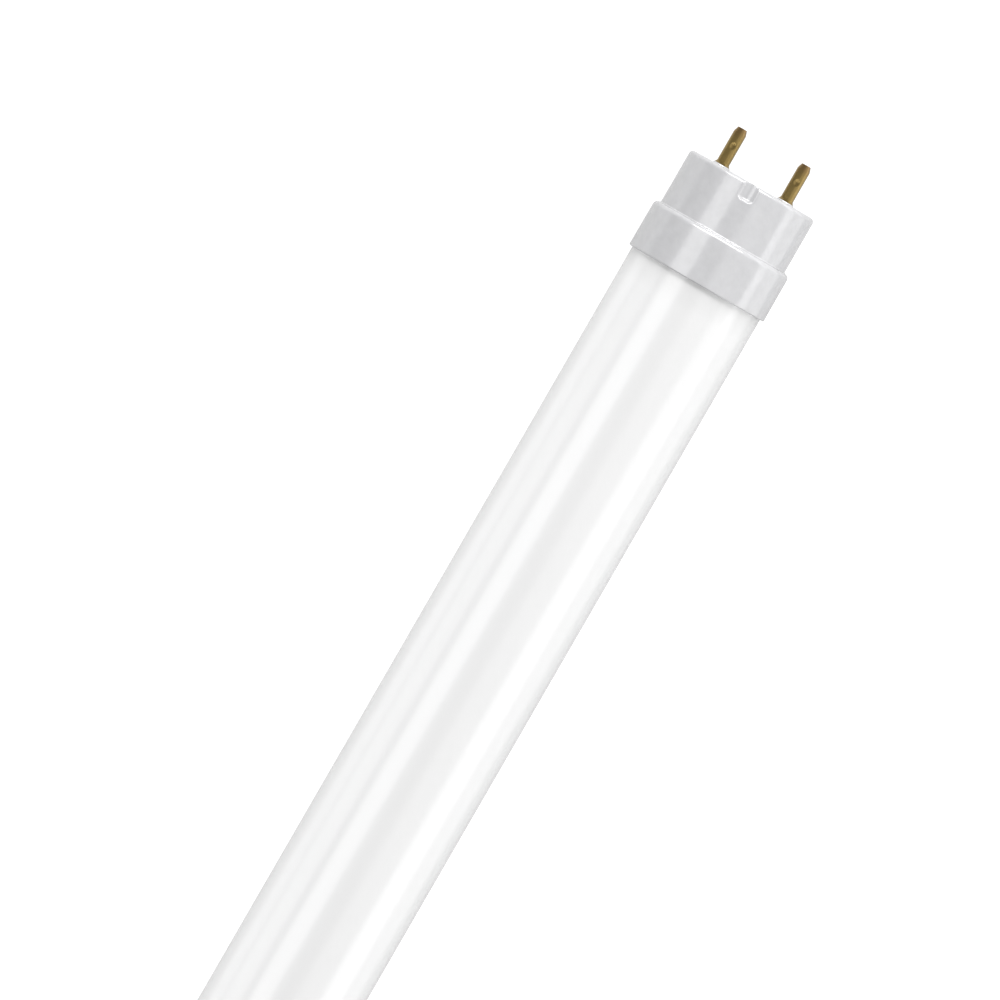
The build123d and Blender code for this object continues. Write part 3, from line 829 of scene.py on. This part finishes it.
add_part("led_row", led_row("led_row", True), led_housing, "led_packages")
led_sizes["Finish"] = phosphor
add_part("phosphor_row", led_row("phosphor_row", False), phosphor, "led_phosphor")

# Driver board and film
# Glass-fibre board with green solder resist on both faces, cut with a saw, so that its edges show the tan
# fibre. A sheet of amber polyester film is rolled round it, to keep it from the glass.
green_resist = (0.03, 0.14, 0.06, 1)
bare_fibre = (0.42, 0.36, 0.2, 1)


def is_sawn_edge(tree, x, y, z):
    return math_node(tree, "LESS_THAN", facing_up(tree), 0.5)


dress(two_colour_finish(
    "green_board", green_resist, bare_fibre, is_sawn_edge,
    {"Coat_Weight": 0.3, "Coat_Roughness": 0.15}, metal=False,
    bump=0.012 * MM, Cloud=0.12, Scale=500.0, Streak=2.5, Gloss=0.35, Gloss_Change=0.2), "driver_board")
dress(plain_finish(
    "amber_film", (0.8, 0.66, 0.36, 1), {"Transmission_Weight": 0.6, "IOR": 1.58},
    bump=0.01 * MM, Cloud=0.02, Scale=120.0, Streak=3.0, Gloss=0.12, Gloss_Change=0.06), "driver_film")

# Leads and links
# Stranded copper in red and black silicone rubber, stripped at both ends. One end lies in the pin, and the
# other stands in a cone of solder. Two tinned links carry the direct current down to the light bar.
red_rubber, black_rubber = (0.45, 0.02, 0.015, 1), (0.018, 0.018, 0.02, 1)
bared_length = 1.0 * MM
far_pad_z = AXIS_Z - 9.63 * MM
near_pad_z = AXIS_Z - 4.0 * MM
bare_from_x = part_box("pin_near_left")[0].x - 0.3 * MM


def stripped(pad_z):
    """Bare past the pins' tails and near the pad that stands at this height."""
    def shows(tree, x, y, z):
        in_pin = math_node(tree, "GREATER_THAN", math_node(tree, "ABSOLUTE", x), bare_from_x)
        by_pad = math_node(tree, "LESS_THAN", z, pad_z + bared_length)
        return math_node(tree, "MAXIMUM", in_pin, by_pad)
    return shows


for side, colour in (("left", red_rubber), ("right", black_rubber)):
    for end, pad_z in (("near", near_pad_z), ("far", far_pad_z)):
        lead_finish = two_colour_finish(
            f"stripped_lead_{end}_{side}", colour, tin, stripped(pad_z), {"Sheen_Weight": 0.1},
            bump=0.006 * MM, Cloud=0.04, Scale=1200.0, Streak=3.0, Gloss=0.45, Gloss_Change=0.15)
        dress(lead_finish, f"lead_{end}_{side}")
tinned = plain_finish(
    "tinned_copper", tin, {"Metallic": 1.0},
    bump=0.02 * MM, Cloud=0.08, Scale=1500.0, Streak=1.0, Gloss=0.25, Gloss_Change=0.2)
dress(tinned, "link_plus", "link_minus")

# Fuse and surge parts
# A fusible resistor in grey-green cement between pressed metal caps with bent wires, and a blue disc varistor
# dipped in epoxy. Both take the surge as the lamp is switched on.
cement_green, plated_steel = (0.2, 0.3, 0.24, 1), (0.5, 0.49, 0.45, 1)
fuse_cap_y = 2.0 * MM
dip_edge_z = near_pad_z + 1.0 * MM


def fuse_metal(tree, x, y, z):
    return math_node(tree, "GREATER_THAN", math_node(tree, "ABSOLUTE", y), fuse_cap_y)


def below(height):
    """Bare metal below this height, as on legs that a dipped coat doesn't reach."""
    def shows(tree, x, y, z):
        return math_node(tree, "LESS_THAN", z, height)
    return shows


dress(two_colour_finish(
    "cement_coat", cement_green, plated_steel, fuse_metal, {"Specular_IOR_Level": 0.4},
    bump=0.02 * MM, Cloud=0.06, Scale=2500.0, Streak=1.0, Gloss=0.5, Gloss_Change=0.2), "fuse_resistor")
dress(two_colour_finish(
    "blue_epoxy", (0.03, 0.09, 0.3, 1), tin, below(dip_edge_z),
    {"Coat_Weight": 0.5, "Coat_Roughness": 0.1},
    bump=0.03 * MM, Cloud=0.05, Scale=700.0, Streak=1.0, Gloss=0.3, Gloss_Change=0.1), "surge_varistor")

# Capacitors
# A film capacitor in a box of yellow plastic, and two electrolytic cans in shrunk sleeves that leave the
# aluminium bare in the middle of one end.
bulk_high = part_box("bulk_capacitor")[1]
bulk_y, bulk_radius, bulk_length = 4.7 * MM, 4.0 * MM, 13.5 * MM
output_low, output_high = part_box("output_capacitor")
bulk_rim, output_rim = 3.1 * MM, 2.4 * MM


def off_axis(tree, across, up):
    """How far a point lies from an axis, by its two offsets from it."""
    offset = vector(tree, across, up)
    return add_node(tree, "ShaderNodeVectorMath", {0: offset}, operation="LENGTH").outputs["Value"]


def bulk_metal(tree, x, y, z):
    """The middle of the front end, and the legs behind the back end."""
    distance = off_axis(tree, minus(tree, y, bulk_y), minus(tree, z, bulk_high.z - bulk_radius))
    front = math_node(tree, "GREATER_THAN", x, bulk_high.x - hair)
    middle = math_node(tree, "LESS_THAN", distance, bulk_rim)
    legs = math_node(tree, "LESS_THAN", x, bulk_high.x - bulk_length)
    return math_node(tree, "MAXIMUM", times(tree, front, middle), legs)


def output_metal(tree, x, y, z):
    """The top end inside the sleeve's rim."""
    centre = (output_low + output_high) / 2
    distance = off_axis(tree, minus(tree, x, centre.x), minus(tree, y, centre.y))
    top = math_node(tree, "GREATER_THAN", z, output_high.z - hair)
    return times(tree, top, math_node(tree, "LESS_THAN", distance, output_rim))


dress(plain_finish(
    "yellow_case", (0.62, 0.42, 0.06, 1), {"Specular_IOR_Level": 0.5},
    bump=0.01 * MM, Cloud=0.03, Scale=1500.0, Streak=1.0, Gloss=0.4, Gloss_Change=0.15), "film_capacitor")
for node, is_metal in (("bulk_capacitor", bulk_metal), ("output_capacitor", output_metal)):
    dress(two_colour_finish(
        f"sleeve_of_{node}", (0.02, 0.03, 0.05, 1), aluminium, is_metal,
        {"Coat_Weight": 0.4, "Coat_Roughness": 0.12},
        bump=0.01 * MM, Cloud=0.04, Scale=400.0, Streak=1.0, Gloss=0.3, Gloss_Change=0.1), node)

# Power coil
# Enamelled copper wire wound in even layers on a drum of sintered ferrite, which is dull and slightly
# pitted. The outer layer's turns lie side by side between the two flanges.
ferrite = plain_finish(
    "ferrite", (0.045, 0.045, 0.05, 1), {"Specular_IOR_Level": 0.4},
    bump=0.02 * MM, Cloud=0.12, Scale=2500.0, Streak=1.0, Gloss=0.5, Gloss_Change=0.3)
dress(ferrite, "coil_bobbin")
enamelled_copper = plain_finish(
    "enamelled_copper", (0.55, 0.2, 0.08, 1),
    {"Metallic": 0.9, "Coat_Weight": 0.8, "Coat_Roughness": 0.08},
    bump=0.004 * MM, Cloud=0.08, Scale=1500.0, Streak=1.0, Gloss=0.25, Gloss_Change=0.1)
coil_low, coil_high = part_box("coil_winding")
coil_sizes = {
    "Turns": 18.0,
    "Steps A Turn": 40,
    "Outside Radius": (coil_high.x - coil_low.x) / 2,
    "Height": coil_high.z - coil_low.z,
    "Bore Radius": 2.05 * MM,
    "Centre X": (coil_low.x + coil_high.x) / 2,
    "Centre Y": (coil_low.y + coil_high.y) / 2,
    "Base Z": coil_low.z,
    "Wire": enamelled_copper,
}
wire_share = 0.97


def all_of(tree, *geometries):
    """These geometries as one."""
    join = add_node(tree, "GeometryNodeJoinGeometry")
    for geometry in geometries:
        tree.links.new(geometry, join.inputs[0])
    return join.outputs[0]


tree = bpy.data.node_groups.new("wound_coil", "GeometryNodeTree")
size = size_inputs(tree, coil_sizes)
turn_height = math_node(tree, "DIVIDE", size["Height"], plus(tree, size["Turns"], 1.0))
wire_radius = times(tree, turn_height, 0.5)
turn_radius = minus(tree, size["Outside Radius"], wire_radius)
spiral = result_of(tree, "GeometryNodeCurveSpiral", {
    "Resolution": size["Steps A Turn"], "Rotations": size["Turns"], "Start Radius": turn_radius,
    "End Radius": turn_radius, "Height": minus(tree, size["Height"], turn_height)})
wire = result_of(tree, "GeometryNodeCurvePrimitiveCircle", {
    "Resolution": 8, "Radius": times(tree, wire_radius, wire_share)})
turns = result_of(tree, "GeometryNodeCurveToMesh", {
    "Curve": spiral, "Profile Curve": wire, "Fill Caps": True})
layers_radius = minus(tree, turn_radius, times(tree, wire_radius, 0.5))
layers_wall = minus(tree, layers_radius, size["Bore Radius"])
section = result_of(tree, "GeometryNodeCurvePrimitiveQuadrilateral", {
    "Width": layers_wall, "Height": size["Height"]})
layers = swept_round(
    tree, size["Steps A Turn"], plus(tree, size["Bore Radius"], times(tree, layers_wall, 0.5)), section)
under = moved(tree, layers, z=times(tree, size["Height"], 0.5))
both = all_of(tree, moved(tree, turns, z=wire_radius), under)
placed = moved(tree, both, size["Centre X"], size["Centre Y"], size["Base Z"])
ended(tree, placed, size["Wire"])
coil_mesh = grown("coil_turns", tree, coil_sizes)
smooth(coil_mesh, 50)
add_part("coil_turns", coil_mesh, enamelled_copper, "coil_winding")

# Chips with legs
# A bridge rectifier and the driver chip, in black moulded epoxy with a draft both ways from the line of the
# legs, and a diode. They sit under the board on tinned legs bent down to it and out.
epoxy_black = (0.025, 0.025, 0.027, 1)
chip_width = 3.9 * MM
chip_draft = 0.06
black_epoxy = plain_finish(
    "black_epoxy", epoxy_black, {"Specular_IOR_Level": 0.5},
    bump=0.006 * MM, Cloud=0.08, Scale=3000.0, Streak=1.0, Gloss=0.45, Gloss_Change=0.15)


def chip_sizes(node, length, pitch, legs_a_side):
    low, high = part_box(node)
    return {
        "Length": length,
        "Width": chip_width,
        "Height": high.z - low.z,
        "Standoff": 0.1 * MM,
        "Leg Pitch": pitch,
        "Legs A Side": legs_a_side,
        "Leg Width": 0.42 * MM,
        "Leg Thickness": 0.2 * MM,
        "Leg Reach": (high.y - low.y - chip_width) / 2,
        "Centre X": (low.x + high.x) / 2,
        "Board Z": high.z,
        "Epoxy": black_epoxy,
        "Tin": tinned,
    }


def block(tree, x, y, z):
    return result_of(tree, "GeometryNodeMeshCube", {"Size": vector(tree, x, y, z)})


def legged_chip(name, sizes):
    """A chip made upright and hung under the board."""
    tree = bpy.data.node_groups.new(name, "GeometryNodeTree")
    size = size_inputs(tree, sizes)
    half_height = times(tree, minus(tree, size["Height"], size["Standoff"]), 0.5)
    middle = plus(tree, half_height, size["Standoff"])
    upper, lower = (
        moved(tree, frustum(tree, size["Length"], size["Width"], half_height, chip_draft, over), z=middle)
        for over in (False, True))
    body = coated_with(tree, all_of(tree, upper, lower), size["Epoxy"])
    foot = block(tree, size["Leg Width"], size["Leg Reach"], size["Leg Thickness"])
    shin = block(tree, size["Leg Width"], size["Leg Thickness"], middle)
    half_reach = times(tree, size["Leg Reach"], 0.5)
    half_thickness = times(tree, size["Leg Thickness"], 0.5)
    leg = all_of(
        tree,
        moved(tree, foot, y=half_reach, z=half_thickness),
        moved(tree, shin, y=half_thickness, z=times(tree, middle, 0.5)))
    run = times(tree, size["Leg Pitch"], minus(tree, size["Legs A Side"], 1.0))
    roots = result_of(tree, "GeometryNodeMeshGrid", {
        "Size X": run, "Size Y": size["Width"], "Vertices X": size["Legs A Side"], "Vertices Y": 2})
    root = add_node(tree, "ShaderNodeSeparateXYZ", {0: result_of(tree, "GeometryNodeInputPosition")})
    half_turn = times(tree, math_node(tree, "LESS_THAN", root.outputs["Y"], 0.0), math.pi)
    legs = result_of(tree, "GeometryNodeInstanceOnPoints", {
        "Points": roots, "Instance": leg, "Rotation": vector(tree, z=half_turn)})
    both = all_of(tree, body, coated_with(tree, legs, size["Tin"]))
    ended(tree, moved(tree, both, x=size["Centre X"], z=size["Board Z"], turn=(math.pi, 0, 0)))
    return grown(name, tree, sizes)


for name, node, length, pitch, legs_a_side in (
    ("bridge", "bridge_rectifier", 4.7 * MM, 2.54 * MM, 2),
    ("control_chip", "driver_chip", 4.9 * MM, 1.27 * MM, 4),
):
    chip_mesh = legged_chip(name, chip_sizes(node, length, pitch, legs_a_side))
    add_part(name, chip_mesh, black_epoxy, node)
diode_low, diode_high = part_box("output_diode")
terminal_x = 1.85 * MM


def is_diode_terminal(tree, x, y, z):
    off_middle = math_node(tree, "ABSOLUTE", minus(tree, x, (diode_low.x + diode_high.x) / 2))
    return math_node(tree, "GREATER_THAN", off_middle, terminal_x)


dress(two_colour_finish(
    "diode_epoxy", epoxy_black, tin, is_diode_terminal, {"Specular_IOR_Level": 0.5},
    bump=0.006 * MM, Cloud=0.08, Scale=3000.0, Streak=1.0, Gloss=0.4, Gloss_Change=0.15), "output_diode")

# Chip resistors and ceramic capacitors
# Tiny bars of fired ceramic with tinned ends, the resistors glazed black and the capacitors bare and tan.
# They are soldered under the board in straight rows.
black_glaze = plain_finish(
    "black_glaze", (0.03, 0.03, 0.032, 1), {"Coat_Weight": 0.5, "Coat_Roughness": 0.15},
    bump=0.004 * MM, Cloud=0.05, Scale=3000.0, Streak=1.0, Gloss=0.35, Gloss_Change=0.1)
tan_ceramic = plain_finish(
    "tan_ceramic", (0.4, 0.26, 0.14, 1), {"Specular_IOR_Level": 0.5},
    bump=0.006 * MM, Cloud=0.08, Scale=3500.0, Streak=1.0, Gloss=0.5, Gloss_Change=0.15)
core_share = 0.95
end_share = 0.22


def bar_rows(name, node, length, width, counts, finish):
    """Rows of small bars across the board, each with a metal end on both sides."""
    low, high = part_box(node)
    sizes = {
        "Length": length,
        "Width": width,
        "Height": high.z - low.z,
        "End": end_share * length,
        "Count X": counts[0],
        "Count Y": counts[1],
        "Run X": high.x - low.x - width,
        "Run Y": high.y - low.y - length,
        "Centre X": (low.x + high.x) / 2,
        "Centre Y": (low.y + high.y) / 2,
        "Middle Z": (low.z + high.z) / 2,
        "Ceramic": finish,
        "Tin": tinned,
    }
    tree = bpy.data.node_groups.new(name, "GeometryNodeTree")
    size = size_inputs(tree, sizes)
    core = block(tree, *[times(tree, size[key], core_share) for key in ("Width", "Length", "Height")])
    end = block(tree, size["Width"], size["End"], size["Height"])
    out = times(tree, minus(tree, size["Length"], size["End"]), 0.5)
    ends = all_of(tree, moved(tree, end, y=out), moved(tree, end, y=times(tree, out, -1.0)))
    one = all_of(tree, coated_with(tree, core, size["Ceramic"]), coated_with(tree, ends, size["Tin"]))
    spots = result_of(tree, "GeometryNodeMeshGrid", {
        "Size X": size["Run X"], "Size Y": size["Run Y"],
        "Vertices X": size["Count X"], "Vertices Y": size["Count Y"]})
    put = result_of(tree, "GeometryNodeInstanceOnPoints", {"Points": spots, "Instance": one})
    ended(tree, moved(tree, put, size["Centre X"], size["Centre Y"], size["Middle Z"]))
    return grown(name, tree, sizes)


for name, node, length, width, counts, finish in (
    ("resistor_bars", "chip_resistors", 3.2 * MM, 1.6 * MM, (4, 2), black_glaze),
    ("capacitor_bars", "chip_capacitors", 2.0 * MM, 1.25 * MM, (2, 1), tan_ceramic),
):
    add_part(name, bar_rows(name, node, length, width, counts, finish), finish, node)
